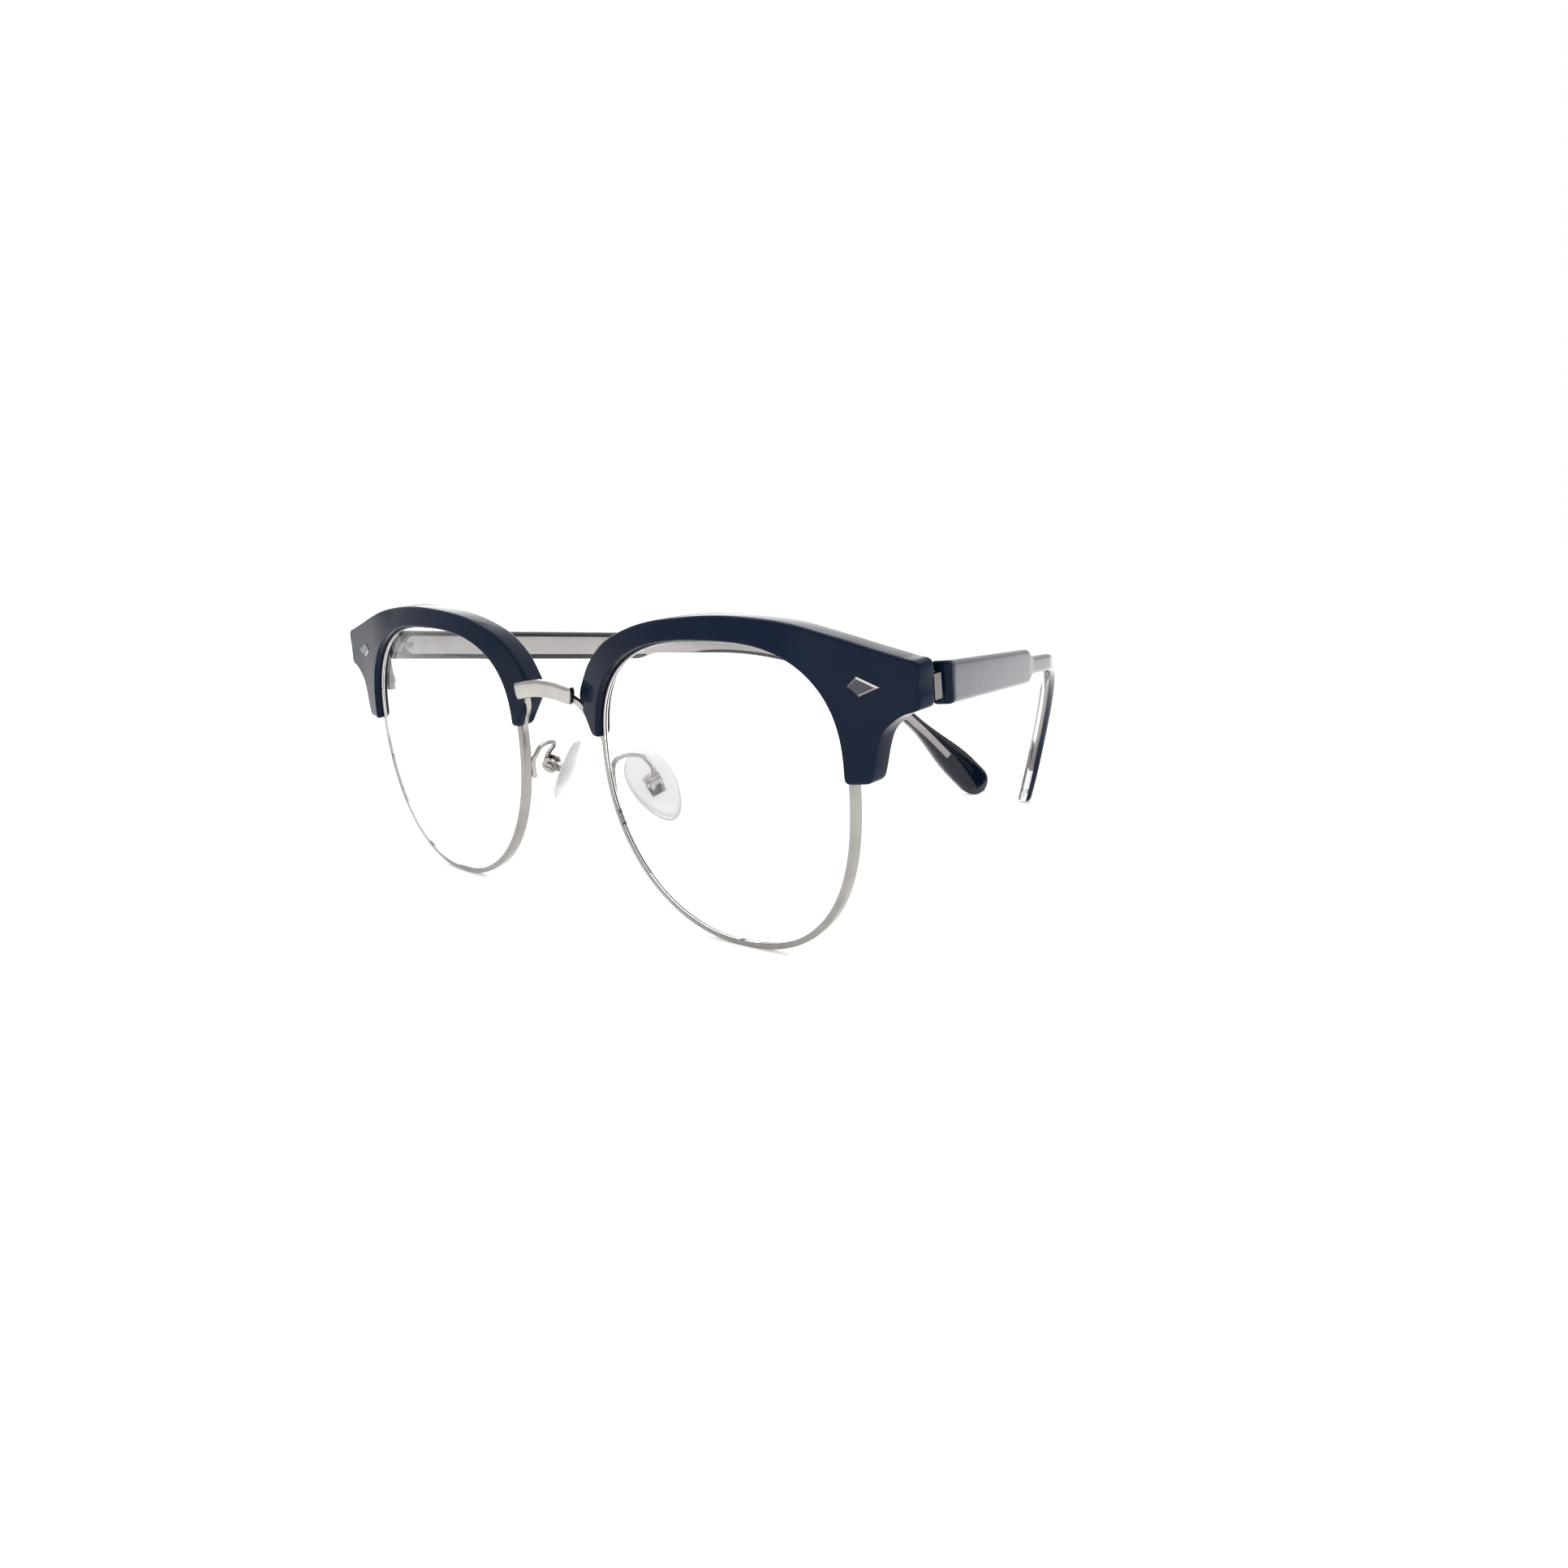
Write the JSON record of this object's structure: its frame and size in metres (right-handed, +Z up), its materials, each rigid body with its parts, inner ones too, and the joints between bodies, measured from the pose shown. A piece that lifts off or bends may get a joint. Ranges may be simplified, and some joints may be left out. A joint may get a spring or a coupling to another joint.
{
  "type": "half rim eyeglasses",
  "caption": "Half rim eyeglasses with wire-rimmed lenses under acetate brows, a metal bridge, adjustable silicone nose pads and laminated folding temples.",
  "frame": {"origin": "middle of the footprint, on the table", "axes": "+X towards the wearer's left temple, +Y from the front towards the temple tips, +Z up"},
  "size_m": [0.1396, 0.1282, 0.0485],
  "materials": {
    "silver_metal": "polished silver-coloured metal",
    "core_metal": "fine lengthwise grain under clear acetate",
    "lens_clear": "clear demo lens, polished",
    "navy_acetate": "polished, very dark blue",
    "clear_acetate": "polished, clear",
    "clear_silicone": "clear, slightly milky"
  },
  "bodies": {
    "front": {"bridge": "silver_metal", "left_eyewire": "silver_metal", "left_lens": "lens_clear", "left_closing_block": "silver_metal", "left_closing_screw": "silver_metal", "left_brow": "navy_acetate", "left_plaque": "silver_metal", "left_end_piece": "silver_metal", "left_hinge_screw": "silver_metal", "left_pad_arm": "silver_metal", "left_pad_box": "silver_metal", "left_pad_screw": "silver_metal", "right_eyewire": "silver_metal", "right_lens": "lens_clear", "right_closing_block": "silver_metal", "right_closing_screw": "silver_metal", "right_brow": "navy_acetate", "right_plaque": "silver_metal", "right_end_piece": "silver_metal", "right_hinge_screw": "silver_metal", "right_pad_arm": "silver_metal", "right_pad_box": "silver_metal", "right_pad_screw": "silver_metal"},
    "left_temple": {"left_hinge_leaf": "silver_metal", "left_temple_outer": "navy_acetate", "left_temple_inner": "clear_acetate", "left_temple_core": "core_metal"},
    "right_temple": {"right_hinge_leaf": "silver_metal", "right_temple_outer": "navy_acetate", "right_temple_inner": "clear_acetate", "right_temple_core": "core_metal"},
    "left_pad": {"left_pad_insert": "silver_metal", "left_nose_pad": "clear_silicone"},
    "right_pad": {"right_pad_insert": "silver_metal", "right_nose_pad": "clear_silicone"}
  },
  "joints": [
    {"name": "left_temple_fold", "type": "hinge", "parent": "front", "child": "left_temple", "pos_m": [0.0667, -0.05154, 0.0397], "axis": [0, -0.1037, 0.9946], "range_deg": [-23, 60]},
    {"name": "right_temple_fold", "type": "hinge", "parent": "front", "child": "right_temple", "pos_m": [-0.0667, -0.05154, 0.0397], "axis": [0, 0.1037, -0.9946], "range_deg": [-23, 52]},
    {"name": "left_pad_rock", "type": "hinge", "parent": "front", "child": "left_pad", "pos_m": [0.0136, -0.05237, 0.02162], "axis": [0.405, 0.8157, 0.413], "range_deg": [-8, 8]},
    {"name": "right_pad_rock", "type": "hinge", "parent": "front", "child": "right_pad", "pos_m": [-0.0136, -0.05237, 0.02162], "axis": [0.405, -0.8157, -0.413], "range_deg": [-8, 8]}
  ]
}
